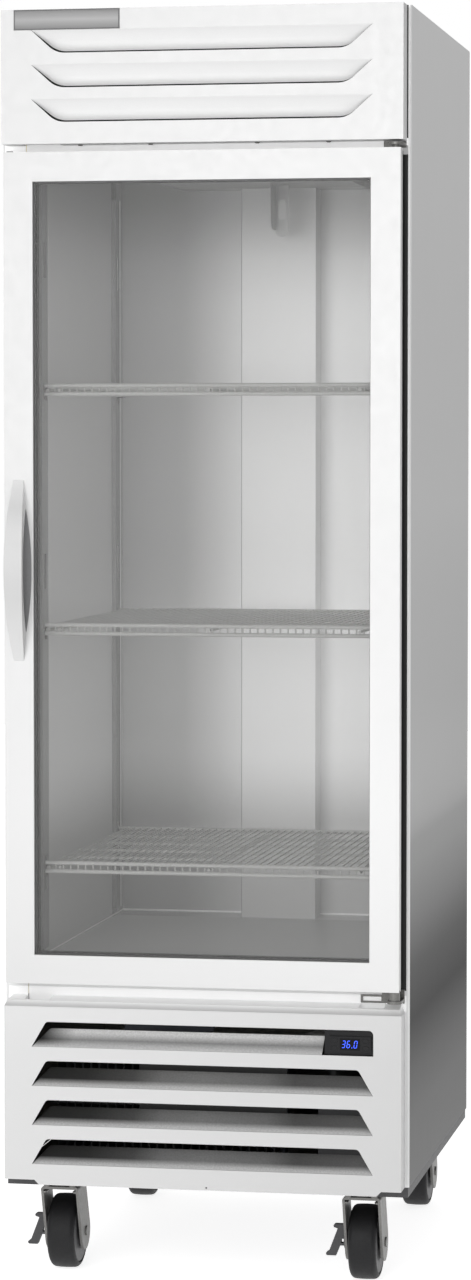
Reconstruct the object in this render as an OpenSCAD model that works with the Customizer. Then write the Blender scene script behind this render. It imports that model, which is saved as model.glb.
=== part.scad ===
// Upright glass-door reach-in refrigerator on swivel casters.
// Millimetres, +Z up, origin on the floor below the middle of the whole object.
// The front faces -Y; the door is hinged on its +X side and opens towards -Y.

/* [Cabinet] */
// Width over the side panels
cab_w = 692; // [688:1:700]
// Height of the cabinet top above the floor
cab_h = 2140; // [2136:1:2150]
// Depth of the insulated body from its front flange to its back
cab_d = 782; // [776:1:800]
// How far the hood, grille and door frame stand in front of the flange
front_d = 44; // [44:1:45]
// Thickness of the side walls, skin to skin
wall_t = 55; // [53:1:56]
// Thickness of the rear wall, skin to skin
rear_t = 88; // [84:1:92]
// Thickness of sheet metal panels
sheet = 1.2; // [1:0.1:1.5]

/* [Levels] */
// Underside of the base frame, on top of the casters
base_z = 158.5; // [158:0.5:159]
// Lower edge of the side panels
panel_z = 176; // [175:1:178]
// Top of the lower grille's front face
grille_z = 470.5; // [469:0.5:472]
// Lower edge of the door
door_z0 = 510; // [509:1:512]
// Upper edge of the door
door_z1 = 1904; // [1902:1:1905]
// Lower edge of the hood
hood_z = 1917.4; // [1917:0.1:1919]
// Floor of the storage space
floor_z = 544; // [542:1:546]
// Ceiling of the storage space beside the coil cover
ceil_z = 1925; // [1923:1:1927]
// Underside of the coil cover in the storage space
coil_cover_z = 1884; // [1882:1:1888]

/* [Door] */
// Width of the door
door_w = 669.4; // [667:0.2:670]
// Width of the frame around the glass
door_rail = 49.5; // [47:0.5:51]
// Depth of the metal door frame
door_t = 22; // [21:0.5:23]
// Radius of the hinge pins
hinge_r = 5; // [4:0.5:6]
// Running clearance of a pin in its bore, on the radius
run = 0.05; // [0.02:0.01:0.08]

/* [Handle] */
// Height of the handle over its two ends
handle_h = 304; // [290:1:320]
// How far the handle stands off the door
handle_d = 45; // [42:1:48]
// Width of the handle in the middle
handle_w = 31; // [28:1:34]
// Height of the middle of the handle above the floor
handle_z = 1206; // [1180:1:1230]

/* [Shelves] */
// Height of the lowest shelf's front rod
shelf_z = 707.5; // [700:0.5:715]
// Distance between shelves
shelf_pitch = 404.5; // [395:0.5:410]
// Distance between the thin wires
wire_pitch = 12.9; // [12.5:0.1:14]

/* [Casters] */
// Diameter of the caster wheels
wheel_d = 127; // [125:1:127]
// Width of the caster wheels
wheel_w = 48; // [46:1:50]
// Distance from the swivel axis back to the axle
trail = 30.5; // [29:0.5:32]
// Distance of each caster from the centre plane
caster_x = 260.6; // [255:0.1:262]

/* [Hidden] */
$fn = 64;
eps = 0.5;              // how far a cut runs past the face that it opens
seam = 0.2;             // joint between neighbouring pieces of one group
side_bend = 3;          // outside radius of a side panel's front corner

// Fore-and-aft places, all measured from the plane of the hood's front face
handle_over = 48;       // the handle's crown in front of that plane
front_swivel = 106;     // swivel axis of the front casters behind it
rear_swivel = 752;      // swivel axis of the rear casters behind it
overall_d = handle_over + rear_swivel + trail + wheel_d / 2;
front_y = handle_over - overall_d / 2;
flange_y = front_y + front_d;
rear_y = flange_y + cab_d;
frame_y = flange_y + 1.5;           // back of the face frame
skin_y = rear_y - 1;                // inside of the rear skin

half_w = cab_w / 2;
skin_x = half_w - 1;                // inside of a side skin
liner_x = half_w - wall_t;          // inside of the storage space
liner_y = rear_y - rear_t;          // face of the rear liner
return_x = half_w - 5.4;             // edge of a side panel's front return
panel_half = half_w - 7.5;          // half-width of hood and grille
opening_z1 = 1880;                  // lower edge of the header
sill_z = grille_z + 3;              // lower edge of the sill
foam_z0 = 486;                      // underside of the insulation
foam_z1 = 2110;                     // top of the insulation
foam_in = liner_x + 1;

// Recess for the evaporator in the insulated top
coil_x = 170;
coil_y0 = front_y + 230;
coil_z1 = 2060;
cover_x = 173.5;                    // half-width of the coil cover
cover_y0 = front_y + 225;
evap_fan_y = front_y + 310;
evap_fan_r = 52;

// Door
door_y = front_y - 3.2;             // front face of the door frame
door_back = door_y + door_t;
door_half = door_w / 2;
glass_half = door_half - door_rail;
glass_z0 = door_z0 + door_rail - 1;
glass_z1 = door_z1 - door_rail + 0.5;
lip = 5.2;                          // thickness of the frame in front of the glass
rebate = 12;                        // how far the glass reaches behind the frame
pane = 4;                           // thickness of one glass pane
gasket_y = door_back + 14;
gasket_end = flange_y - 0.6;
hinge_x = door_half - 8.7;
hinge_y = front_y + 8;
gasket_half = hinge_x;

// Handle
handle_x = -310;
handle_end_w = 17;                  // width of the handle at its ends
grip_gap = 35;                      // depth of the finger gap
grip_half = 104.5;                  // half-height of the finger gap

// Louvres of the hood: the flap hangs from its top edge
hood_rows = 3;
hood_pitch = 57.2;
hood_cut_h = 38.2;
hood_half = 287.5;
hood_slant = 42;
hood_corner = 40;
hood_cut_top = cab_h - 34;
hood_tilt = 24;

// Louvres of the grille: the flap stands on its bottom edge
grille_rows = 4;
grille_pitch = 66.5;
grille_cut_h = 43;
grille_half = 291;
grille_slant = 60;
grille_corner = 8;
grille_cut_low = 402;
grille_tilt = 50;
lip_drop = 8;                       // the lower lip below the grille's face
ledge_rise = 9.5;                   // the bevel's height on top of the grille
ledge_in = 8;                       // the bevel's depth
ledge_back_z = grille_z + 14;       // top of the ledge where it meets the sill
notch_x0 = 264;
notch_x1 = 307;

// Controller in the right end of the grille's first louvre
ctrl_x0 = 208;
ctrl_x1 = 291.6;
ctrl_z0 = grille_cut_low;
ctrl_z1 = grille_cut_low + grille_cut_h;
bezel_x0 = 217;
bezel_x1 = 287.4;
bezel_z0 = 408;
bezel_z1 = 434;
bezel_y = front_y + 2;
key_w = 11;
key_h = 7;
key_gap = 0.3;
key_xs = [bezel_x0 + 9, bezel_x1 - 9];
key_zs = [bezel_z0 + 6.5, bezel_z1 - 6.5];
window_w = 34;
window_h = 20;

// Shelves
shelf_half = 281;
shelf_y0 = front_y + 66;
shelf_y1 = front_y + 655;
rod_r = 3.5;
cross_r = 2.5;
wire_r = 1.5;
rod_drop = 14.3;                    // lower front rod below the upper one
wires = 42;
cross_rods = 4;
heavy_x = 257;
pilaster_t = 8;
pilaster_w = 42;
pilaster_ys = [front_y + 56, front_y + 641];
clip_w = 14;

// Condensing unit
unit_y0 = frame_y + 30;
cond_x0 = -270;
cond_x1 = 120;
cond_z0 = panel_z + 14;
cond_z1 = panel_z + 229;
guard_z0 = 262;
guard_z1 = 405;
cond_d = 52;
fan_x = (cond_x0 + cond_x1) / 2;
fan_z = (cond_z0 + cond_z1) / 2;
fan_r = 100;
shroud_y = unit_y0 + cond_d + 1;
shroud_d = 40;
fan_y = shroud_y + 12;
comp_x = 150;
comp_y = front_y + 520;
comp_r = 88;

// Casters
wheel_r = wheel_d / 2;
axle_r = 6;
king_r = 8;
plate_t = 3;
swivel_ys = [front_y + front_swivel, front_y + rear_swivel];
fork_in = wheel_w / 2 + 4.2;         // inside of a fork leg from the wheel's middle
fork_t = 4.4;
fork_top = base_z - plate_t - 5.5;
fork_half = 32;                     // half the depth of a fork's crown
fork_end_r = 32;                    // round end of a fork leg
crown_r = fork_t + 1;               // outside bend between crown and leg
race_r = 31;

// ---- helpers ----------------------------------------------------------------

// A box given by its lowest and highest corners
module span(lo, hi) {
    translate(lo) cube(hi - lo);
}

// The same pieces on both sides of the centre plane
module both_sides() {
    children();
    mirror([1, 0, 0]) children();
}

// A rod along X, Y or Z from a point
module rod_x(p, length, r) {
    translate(p) rotate([0, 90, 0]) cylinder(h = length, r = r);
}
module rod_y(p, length, r) {
    translate(p) rotate([-90, 0, 0]) cylinder(h = length, r = r);
}
module rod_z(p, length, r) {
    translate(p) cylinder(h = length, r = r);
}

// A rectangular frame standing in the XZ plane: outer and inner half-widths and heights
module ring_xz(outer, inner, y0, y1) {
    difference() {
        span([-outer[0], y0, outer[1]], [outer[0], y1, outer[2]]);
        span([-inner[0], y0 - eps, inner[1]], [inner[0], y1 + eps, inner[2]]);
    }
}

// An outline drawn in X and Z, given thickness from y0 backwards
module upright(y0, t) {
    translate([0, y0 + t, 0]) rotate([90, 0, 0]) linear_extrude(t) children();
}

// ---- cabinet ----------------------------------------------------------------

// Plan of a side panel: the sheet, its rounded front corner and its return
module side_plan() {
    translate([skin_x, flange_y + side_bend]) square([1, cab_d - side_bend]);
    translate([return_x, flange_y]) square([half_w - side_bend - return_x, 1]);
    translate([half_w - side_bend, flange_y + side_bend]) intersection() {
        difference() {
            circle(r = side_bend);
            circle(r = side_bend - 1);
        }
        translate([0, -side_bend]) square(side_bend);
    }
}

module side_panel_right() {
    color("gainsboro") translate([0, 0, panel_z]) linear_extrude(cab_h - panel_z) side_plan();
}

module side_panel_left() {
    mirror([1, 0, 0]) side_panel_right();
}

module top_panel() {
    color("gainsboro") span([-skin_x, frame_y, cab_h - 1], [skin_x, skin_y, cab_h]);
}

// Rear skin, slotted low down for the condenser's air
module rear_panel() {
    slot_h = 7;
    color("silver") difference() {
        span([-skin_x, skin_y, panel_z], [skin_x, rear_y, cab_h]);
        for (row = [0 : 5], side = [-1, 1])
            translate([side * 160, skin_y - eps, panel_z + 156 + row * 19])
                upright(0, 1 + 2 * eps) slot_outline(250, slot_h);
    }
}

// A slot with round ends, centred on the origin
module slot_outline(length, height) {
    reach = (length - height) / 2;
    square([2 * reach, height], center = true);
    for (s = [-1, 1]) translate([s * reach, 0]) circle(d = height);
}

// Front flanges around the door opening: two stiles, the header and the sill
module face_frame() {
    joint = 305.5;
    gap = 1.5;
    color("white") {
        both_sides() {
            span([joint + gap, flange_y, panel_z], [return_x, frame_y, cab_h]);
            span([liner_x, flange_y, floor_z + seam], [return_x, frame_y, opening_z1 - seam]);
        }
        span([-joint, flange_y, opening_z1], [joint, frame_y, cab_h]);
        span([-joint, flange_y, sill_z], [joint, frame_y, floor_z]);
    }
}

// Welded base: a pan under each pair of casters, side rails and the deck above them
module base_frame() {
    pan_d = 140;
    wall = 2;
    top = panel_z - wall;
    mid0 = flange_y + pan_d + seam;
    mid1 = rear_y - pan_d - seam;
    color("dimgray") {
        for (y = [flange_y + 2, rear_y - pan_d])
            difference() {
                span([-half_w + 2, y, base_z], [half_w - 2, y + pan_d - 2, panel_z]);
                span([-half_w + 4, y + 2, base_z + 3], [half_w - 4, y + pan_d - 4, panel_z - 2]);
            }
        both_sides() span([half_w - 40, mid0, base_z], [half_w - 2, mid1, top - seam]);
        span([-half_w + 2, mid0, top], [half_w - 2, mid1, panel_z]);
    }
}

// Foamed-in-place insulation, shown as the slabs between the skins and the liner
module insulation() {
    lid_y1 = liner_y + 1 - seam;
    color("khaki") {
        both_sides() span([foam_in + seam, flange_y + side_bend, foam_z0], [skin_x, skin_y, foam_z1]);
        span([-foam_in, liner_y + 1, foam_z0], [foam_in, skin_y, foam_z1]);
        span([-foam_in, frame_y, foam_z0], [foam_in, lid_y1, floor_z - 1]);
        span([-foam_in, frame_y, ceil_z + 1], [foam_in, coil_y0 - seam, foam_z1]);
        both_sides() span([coil_x + seam, coil_y0, ceil_z + 1], [foam_in, lid_y1, foam_z1]);
        span([-coil_x, coil_y0, coil_z1], [coil_x, lid_y1, foam_z1]);
    }
}

// Sheets that line the storage space
module liner() {
    y0 = frame_y;
    gap = 0.1;
    color("lightgray") {
        both_sides() span([liner_x, y0, floor_z - 1], [liner_x + 1, liner_y + 1, ceil_z + 1]);
        span([-liner_x + gap, liner_y, floor_z + gap], [liner_x - gap, liner_y + 1, ceil_z - gap]);
        span([-liner_x + gap, y0, floor_z - 1], [liner_x - gap, liner_y + 1, floor_z]);
        span([-liner_x + gap, y0, ceil_z], [liner_x - gap, coil_y0 - gap, ceil_z + 1]);
        both_sides() span([coil_x, coil_y0, ceil_z], [liner_x - gap, liner_y + 1, ceil_z + 1]);
    }
}

// ---- hood and grille --------------------------------------------------------

// Outline of a louvre: a long edge on the X axis, slanted sides, and a far edge at
// height h whose corners are rounded tangent to the sides
module louvre_outline(half, h, slant, r) {
    cx = half - (r + (h - r) * cos(slant)) / sin(slant);
    tip_x = cx + r * sin(slant);
    tip_z = h - r + r * cos(slant);
    polygon([[-half, 0], [-tip_x, tip_z], [-cx, h], [cx, h], [tip_x, tip_z], [half, 0]]);
    intersection() {
        for (s = [-1, 1]) translate([s * cx, h - r]) circle(r = r, $fn = 96);
        translate([-half, h / 4]) square([2 * half, h]);
    }
}

// Hood louvre, drawn downwards from its top edge
module hood_louvre(less) {
    mirror([0, 1]) louvre_outline(hood_half - less, hood_cut_h - less, hood_slant, hood_corner);
}

// Grille louvre, drawn upwards from its bottom edge
module grille_louvre(less) {
    louvre_outline(grille_half - less, grille_cut_h - less, grille_slant, grille_corner);
}

// Cuts away what lies beyond an upright line at x
module left_of(x) {
    intersection() {
        children();
        translate([x - 1000, -500]) square([1000, 1000]);
    }
}

// Folded pan, open at the back, with a bevel along the top front and side edges
module bevelled_pan(inset, z0, z1, back_z) {
    intersection() {
        rotate([90, 0, 90]) translate([0, 0, -panel_half + inset])
            linear_extrude(2 * (panel_half - inset)) polygon([
                [front_y + inset, z0], [front_y + inset, z1 - inset * 0.5],
                [front_y + ledge_in, z1 + ledge_rise - inset],
                [flange_y + (inset > 0 ? eps : 0), back_z - inset],
                [flange_y + (inset > 0 ? eps : 0), z0]
            ]);
        translate([0, flange_y + 1, 0]) rotate([90, 0, 0]) linear_extrude(front_d + 1) polygon([
            [-panel_half + inset, z0], [panel_half - inset, z0],
            [panel_half - inset, z1 - inset * 0.5], [panel_half - ledge_in, z1 + 20 - inset],
            [-panel_half + ledge_in, z1 + 20 - inset], [-panel_half + inset, z1 - inset * 0.5]
        ]);
    }
}

module hood_panel() {
    cut_t = sheet + 2 * eps;
    color("whitesmoke") {
        difference() {
            span([-panel_half, front_y, hood_z], [panel_half, flange_y, cab_h]);
            span([-panel_half + sheet, front_y + sheet, hood_z + sheet],
                 [panel_half - sheet, flange_y + eps, cab_h - sheet]);
            for (row = [0 : hood_rows - 1])
                translate([0, front_y - eps, hood_cut_top - row * hood_pitch])
                    upright(0, cut_t) hood_louvre(0);
            // notch in the lower flange where a hinge bracket goes on a door hung the other way
            span([-notch_x1, flange_y - 30, hood_z - eps],
                 [-notch_x1 + 64, flange_y + eps, hood_z + sheet + eps]);
        }
        for (row = [0 : hood_rows - 1])
            translate([0, front_y + 0.3, hood_cut_top - row * hood_pitch])
                rotate([hood_tilt, 0, 0]) upright(0, sheet) hood_louvre(0.5);
    }
}

// Plate with no lettering, in the hood's upper left corner
module badge_plate() {
    color("darkgray") span([-316.5, front_y - 1.5, cab_h - 34], [-136.5, front_y, cab_h - 0.5]);
}

module lower_grille() {
    low = panel_z - 0.4;
    color("whitesmoke") {
        difference() {
            bevelled_pan(0, low, grille_z, ledge_back_z);
            bevelled_pan(sheet, low - eps, grille_z, ledge_back_z);
            for (row = [0 : grille_rows - 1])
                translate([0, front_y - eps, grille_cut_low - row * grille_pitch])
                    upright(0, sheet + 2 * eps)
                        if (row > 0) grille_louvre(0);
                        else left_of(ctrl_x0 + 5) grille_louvre(0);
            controller_opening();
            both_sides() span([notch_x0, flange_y - 30, grille_z],
                              [notch_x1, flange_y + eps, ledge_back_z + eps]);
        }
        for (row = [0 : grille_rows - 1])
            translate([0, front_y + 0.3, grille_cut_low - row * grille_pitch])
                rotate([-grille_tilt, 0, 0]) upright(0, sheet)
                    if (row > 0) grille_louvre(0.5);
                    else left_of(ctrl_x0 - 3) grille_louvre(0.5);
        lower_lip();
    }
}

// Opening for the controller, with its upper outer corner rounded
module controller_opening() {
    r = grille_corner;
    upright(front_y - eps, sheet + 2 * eps) difference() {
        translate([ctrl_x0, ctrl_z0]) square([ctrl_x1 - ctrl_x0, ctrl_z1 - ctrl_z0]);
        translate([ctrl_x1 - r, ctrl_z1 - r]) difference() {
            square([r + eps, r + eps]);
            circle(r = r);
        }
    }
}

// Lip below the grille's face, a little right of its middle, with slanted ends
// and a screw hole
module lower_lip() {
    reach = 296;
    shift = 9;
    top = panel_z + 2;
    low = panel_z - 0.4 - lip_drop;
    translate([shift, 0, 0]) difference() {
        upright(front_y, sheet) polygon([
            [-reach - 2.4, top], [reach + 2.4, top],
            [reach - lip_drop, low], [-reach + lip_drop, low]
        ]);
        rod_y([0, front_y - eps, panel_z - 4], sheet + 2 * eps, 1.6);
    }
}

// Screws in the underside of the hood
module panel_screws() {
    color("silver") for (x = [90, 210])
        both_sides() translate([x, front_y + 30, hood_z]) rotate([180, 0, 0]) {
            cylinder(h = 1.6, r = 4);
            cylinder(h = 2, r = 2.6);
        }
}

// ---- controller -------------------------------------------------------------

module key_places() {
    for (i = [0 : 1], j = [0 : 1]) translate([key_xs[i], 0, key_zs[j]]) children();
}

module controller_housing() {
    wall = 2;
    mid_x = (bezel_x0 + bezel_x1) / 2;
    mid_z = (bezel_z0 + bezel_z1) / 2;
    color("black") difference() {
        union() {
            span([ctrl_x0 + 1, front_y + 5, ctrl_z0 + 1], [ctrl_x1 - 1, front_y + 40, ctrl_z1 - 1]);
            span([bezel_x0, bezel_y, bezel_z0], [bezel_x1, front_y + 5 + eps, bezel_z1]);
        }
        span([ctrl_x0 + 1 + wall, front_y + 9, ctrl_z0 + 1 + wall],
             [ctrl_x1 - 1 - wall, front_y + 41, ctrl_z1 - 1 - wall]);
        translate([mid_x - window_w / 2, bezel_y - eps, mid_z - window_h / 2])
            cube([window_w, 1.5 + eps, window_h]);
        key_places() upright(bezel_y - eps, 3 + eps)
            slot_outline(key_w + 2 * key_gap, key_h + 2 * key_gap);
    }
}

module controller_window() {
    mid_x = (bezel_x0 + bezel_x1) / 2;
    mid_z = (bezel_z0 + bezel_z1) / 2;
    color("midnightblue") translate([mid_x - window_w / 2, bezel_y, mid_z - window_h / 2])
        cube([window_w, 1.5, window_h]);
}

module controller_key(i) {
    color("darkslategray") translate([key_xs[i % 2], 0, key_zs[floor(i / 2)]])
        upright(bezel_y - 0.3, 2) slot_outline(key_w, key_h);
}

// ---- storage space ----------------------------------------------------------

// Upright channel on the side wall, with tall openings in its face
module pilaster(y0) {
    t = 1.2;
    z0 = floor_z + 16;
    z1 = 1864;
    x1 = liner_x - 0.05;
    x0 = x1 - pilaster_t;
    difference() {
        span([x0, y0, z0], [x1, y0 + pilaster_w, z1]);
        span([x0 + t, y0 + t, z0 - eps], [x1 + eps, y0 + pilaster_w - t, z1 + eps]);
        for (z = [660, 1172, 1698])
            span([x0 - eps, y0 + 12, z], [x0 + t + eps, y0 + 28, z + 60]);
    }
}

module shelf_pilasters() {
    color("silver") both_sides() for (y = pilaster_ys) pilaster(y);
}

// Angle clips that carry the corners of the three shelves
module shelf_clips() {
    x1 = liner_x - 0.05 - pilaster_t;
    top = -12.6 - 0.4;
    color("silver") both_sides() for (y = pilaster_ys, i = [0 : 2])
        translate([0, y + pilaster_w / 2, shelf_z + i * shelf_pitch]) {
            span([x1 - 1.4, -clip_w / 2, top - 12], [x1, clip_w / 2, top + 14]);
            span([x1 - 12, -clip_w / 2, top - 2], [x1 - 1, clip_w / 2, top]);
        }
}

// Wire shelf: double front rod, rear rod, side rods, cross rods and thin wires
module shelf(z) {
    side_x = shelf_half - 4;
    depth = shelf_y1 - shelf_y0;
    wire_y0 = shelf_y0 + rod_r + wire_r + 0.05;
    wire_len = shelf_y1 - rod_r - 0.05 - wire_y0;
    half_span = (wires - 1) * wire_pitch / 2;
    cross_pitch = depth / (cross_rods + 1);
    color("lightgray") translate([0, 0, z]) {
        rod_x([-shelf_half, shelf_y0, 0], 2 * shelf_half, rod_r);
        rod_x([-shelf_half, shelf_y0, -rod_drop], 2 * shelf_half, rod_r);
        rod_x([-shelf_half, shelf_y1, 0], 2 * shelf_half, rod_r);
        for (s = [-1, 1])
            rod_y([s * side_x, shelf_y0 + rod_r + 0.05, -9.1], depth - 2 * rod_r - 0.1, rod_r);
        for (i = [1 : cross_rods])
            rod_x([-side_x + 1, shelf_y0 + i * cross_pitch, -3.05], 2 * side_x - 2, cross_r);
        for (x = [-heavy_x, 0, heavy_x])
            rod_y([x, shelf_y0 + rod_r + 0.05, -8.1], depth - 2 * rod_r - 0.1, cross_r);
        for (i = [0 : wires - 1])
            translate([-half_span + i * wire_pitch, wire_y0, 1]) {
                rod_y([0, 0, 0], wire_len, wire_r);
                sphere(r = wire_r, $fn = 24);
                rod_z([0, 0, -rod_drop - 1], rod_drop + 1, wire_r);
            }
    }
}

module shelf_lower() shelf(shelf_z);
module shelf_middle() shelf(shelf_z + shelf_pitch);
module shelf_upper() shelf(shelf_z + 2 * shelf_pitch);

// Raised air duct on the rear wall, open at the back
module duct_cover() {
    t = sheet;
    x0 = -55;
    x1 = 83;
    depth = 61;
    color("lightgray") difference() {
        span([x0, liner_y - depth, floor_z], [x1, liner_y, coil_cover_z - seam]);
        span([x0 + t, liner_y - depth + t, floor_z - eps], [x1 - t, liner_y + eps, coil_cover_z + eps]);
    }
}

// Tray under the evaporator, with the fan's inlet and the outlet to the duct
module evaporator_cover() {
    t = 1.5;
    color("silver") difference() {
        span([-cover_x, cover_y0, coil_cover_z], [cover_x, liner_y - seam, ceil_z]);
        span([-cover_x + t, cover_y0 + t, coil_cover_z + t], [cover_x - t, liner_y - t, ceil_z + eps]);
        rod_z([0, evap_fan_y, coil_cover_z - eps], t + 2 * eps, evap_fan_r + 4);
        span([-50, liner_y - 56, coil_cover_z - eps], [78, liner_y - 5, coil_cover_z + t + eps]);
    }
}

// Finned block: end plates, fins and tube runs along X
module finned_block(x0, x1, y0, y1, z0, z1, fins, tube_r, tube_rows, tube_cols) {
    pitch = (x1 - x0) / fins;
    dy = (y1 - y0) / tube_cols;
    dz = (z1 - z0) / tube_rows;
    for (i = [0 : fins]) difference() {
        span([x0 + i * pitch - 0.4, y0, z0], [x0 + i * pitch + 0.4, y1, z1]);
        for (r = [0 : tube_rows - 1], c = [0 : tube_cols - 1])
            rod_x([x0 + i * pitch - 1, y0 + (c + 0.5) * dy, z0 + (r + 0.5) * dz], 2, tube_r + 0.05);
    }
    for (r = [0 : tube_rows - 1], c = [0 : tube_cols - 1])
        rod_x([x0 - 6, y0 + (c + 0.5) * dy, z0 + (r + 0.5) * dz], x1 - x0 + 12, tube_r);
}

module evaporator_coil() {
    color("silver") finned_block(-150, 150, front_y + 440, front_y + 700, 1936, 2036, 20, 5, 2, 4);
}

// Axial fan about Z or Y: a hub with a bore and pitched blades
module fan_rotor(r, hub_r, hub_h, shaft_r, blades, chord) {
    difference() {
        union() {
            cylinder(h = hub_h, r = hub_r);
            for (i = [0 : blades - 1]) rotate([0, 0, i * 360 / blades])
                intersection() {
                    translate([hub_r - 2, 0, hub_h / 2]) rotate([28, 0, 0])
                        translate([0, -chord / 2, -0.8]) cube([r, chord, 1.6]);
                    cylinder(h = hub_h, r = r);
                }
        }
        translate([0, 0, -eps]) cylinder(h = hub_h + 2 * eps, r = shaft_r + run);
    }
}

module evaporator_fan() {
    color("dimgray") translate([0, evap_fan_y, 1940]) fan_rotor(evap_fan_r, 16, 18, 3, 5, 34);
}

// Motor above the fan, on a strap across the recess
module evaporator_motor() {
    color("dimgray") {
        rod_z([0, evap_fan_y, 1936], 26, 3);
        rod_z([0, evap_fan_y, 1962], 46, 30);
        span([-coil_x + 1, evap_fan_y - 12, 2008], [coil_x - 1, evap_fan_y + 12, 2011]);
    }
}

// Lamp under the front of the ceiling
module lamp() {
    color("white") span([-210, frame_y + 24, ceil_z - 20], [210, frame_y + 50, ceil_z - 0.1]);
}

// Hanging strap with a round end and a slot, fixed under the coil cover; its left
// side is turned forward as a wing with a rounded lower corner
module strap_bracket() {
    w = 24;
    drop = 93;
    wing_d = 55;
    wing_r = 24;
    slot_drop = 44;
    t = 1.5;
    y = front_y + 600;
    x0 = 21.5;
    mid = x0 + w / 2;
    end_z = coil_cover_z - drop + w / 2;
    top_z = coil_cover_z - 0.1;
    color("silver") {
        difference() {
            union() {
                span([x0, y, end_z], [x0 + w, y + t, top_z]);
                rod_y([mid, y, end_z], t, w / 2);
            }
            translate([mid, 0, coil_cover_z - slot_drop]) upright(y - eps, t + 2 * eps)
                rotate(90) slot_outline(36, 14);
        }
        span([x0, y, top_z - t], [x0 + w, y + 22, top_z]);
        translate([x0, y, 0]) rotate([90, 0, 90]) linear_extrude(t) {
            translate([-wing_d, end_z + wing_r]) square([wing_d + t, top_z - end_z - wing_r]);
            translate([-wing_d + wing_r, end_z]) square([wing_d + t - wing_r, wing_r + t]);
            translate([-wing_d + wing_r, end_z + wing_r]) circle(r = wing_r);
        }
    }
}

// ---- condensing unit --------------------------------------------------------

// Hermetic shell with a domed top on a mounting plate with rubber feet
module compressor() {
    body_z = panel_z + 20;
    dome = 40;
    color("black") translate([comp_x, comp_y, 0]) {
        translate([0, 0, body_z]) rotate_extrude($fn = 96) union() {
            square([comp_r, 120]);
            square([comp_r - dome, 120 + dome]);
            intersection() {
                translate([comp_r - dome, 120]) circle(r = dome);
                square([comp_r, 200]);
            }
        }
        span([-110, -80, body_z - 4], [110, 80, body_z]);
        for (x = [-95, 95], y = [-65, 65]) rod_z([x, y, panel_z], 16, 12);
    }
}

module condenser_coil() {
    color("silver") finned_block(
        cond_x0 + 8, cond_x1 - 8, unit_y0, unit_y0 + cond_d, cond_z0, cond_z1, 26, 5, 5, 2
    );
}

// Shroud with the fan's ring, the bracket that holds the motor, and a baffle on top
module fan_shroud() {
    t = 1.5;
    bracket_y = shroud_y + shroud_d + 44;
    color("dimgray") {
        difference() {
            span([cond_x0, shroud_y, panel_z + 0.1], [cond_x1, shroud_y + shroud_d, cond_z1]);
            span([cond_x0 + t, shroud_y - eps, panel_z + t],
                 [cond_x1 - t, shroud_y + shroud_d - t, cond_z1 - t]);
            rod_y([fan_x, shroud_y, fan_z], shroud_d + eps, fan_r + 4);
        }
        difference() {
            span([fan_x - 14, bracket_y, panel_z + 0.1], [fan_x + 14, bracket_y + 3, cond_z1]);
            rod_y([fan_x, bracket_y - eps, fan_z], 3 + 2 * eps, 12);
        }
        for (z = [panel_z + 0.1, cond_z1 - 3])
            span([fan_x - 14, shroud_y + shroud_d - t, z], [fan_x + 14, bracket_y + 1, z + 3]);
        upright(shroud_y, t) polygon([
            [-158, cond_z1 - t], [-10, cond_z1 - t], [16, cond_z1 + 55], [-158, cond_z1 + 55]
        ]);
    }
}

// Plain plate that guards the middle of the coil behind the grille
module coil_guard() {
    x0 = -116.5;
    x1 = 137.4;
    y = flange_y + 10;
    color("silver") {
        span([x0, y, guard_z0], [x1, y + 1, guard_z1]);
        for (x = [x0, cond_x1 - 20]) span([x, y, guard_z0], [x + 1, unit_y0 - 0.1, guard_z1]);
    }
}

module condenser_fan() {
    color("gray") translate([fan_x, fan_y, fan_z]) rotate([-90, 0, 0]) fan_rotor(fan_r, 26, 24, 4, 5, 70);
}

module condenser_motor() {
    motor_y = shroud_y + shroud_d + 4;
    color("black") {
        rod_y([fan_x, fan_y - 3, fan_z], motor_y - fan_y + 3, 4);
        rod_y([fan_x, motor_y, fan_z], 40, 42);
        rod_y([fan_x, motor_y + 40, fan_z], 6, 11.9);
    }
}

// Shallow tray that catches and evaporates the condensate
module drain_pan() {
    y0 = rear_y - 130;
    color("lightgray") difference() {
        span([-240, y0, panel_z + 0.1], [20, rear_y - 20, panel_z + 45]);
        span([-238, y0 + 2, panel_z + 2], [18, rear_y - 22, panel_z + 46]);
    }
}

// One bend of a tube: a quarter of a torus in the plane of its first two axes
module elbow(bend, r) {
    rotate_extrude(angle = 90) translate([bend, 0]) circle(r = r);
}

// Discharge line to the condenser, and the liquid line with its drier
module refrigerant_lines() {
    r = 4;
    bend = 20;
    low = panel_z + 60;
    x1 = cond_x1 + 40;
    y1 = unit_y0 + 20;
    color("peru") {
        rod_y([x1, y1 + bend, low], comp_y - comp_r - y1 - bend, r);
        translate([x1 - bend, y1 + bend, low]) rotate([0, 0, -90]) elbow(bend, r);
        rod_x([cond_x1 + 4, y1, low], x1 - bend - cond_x1 - 4, r);
        rod_z([comp_x + 40, comp_y + comp_r + 14, low], foam_z0 - low - 0.1, r);
        rod_z([comp_x + 70, comp_y + comp_r + 14, low], 70, 11);
        rod_z([comp_x + 70, comp_y + comp_r + 14, low + 70 - 1], foam_z0 - low - 69.1, r * 0.7);
    }
}

module electrical_box() {
    color("gray") span([190, frame_y + 12, panel_z + 40], [310, frame_y + 150, panel_z + 150]);
}

// Sealed inlet in the rear skin for the mains lead
module power_inlet() {
    x = 300;
    z = panel_z + 60;
    color("black") {
        rod_y([x, rear_y, z], 0.0 + 1.5, 14);
        rod_y([x, skin_y - 20, z], 19.9, 10);
    }
}

// ---- door -------------------------------------------------------------------

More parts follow.
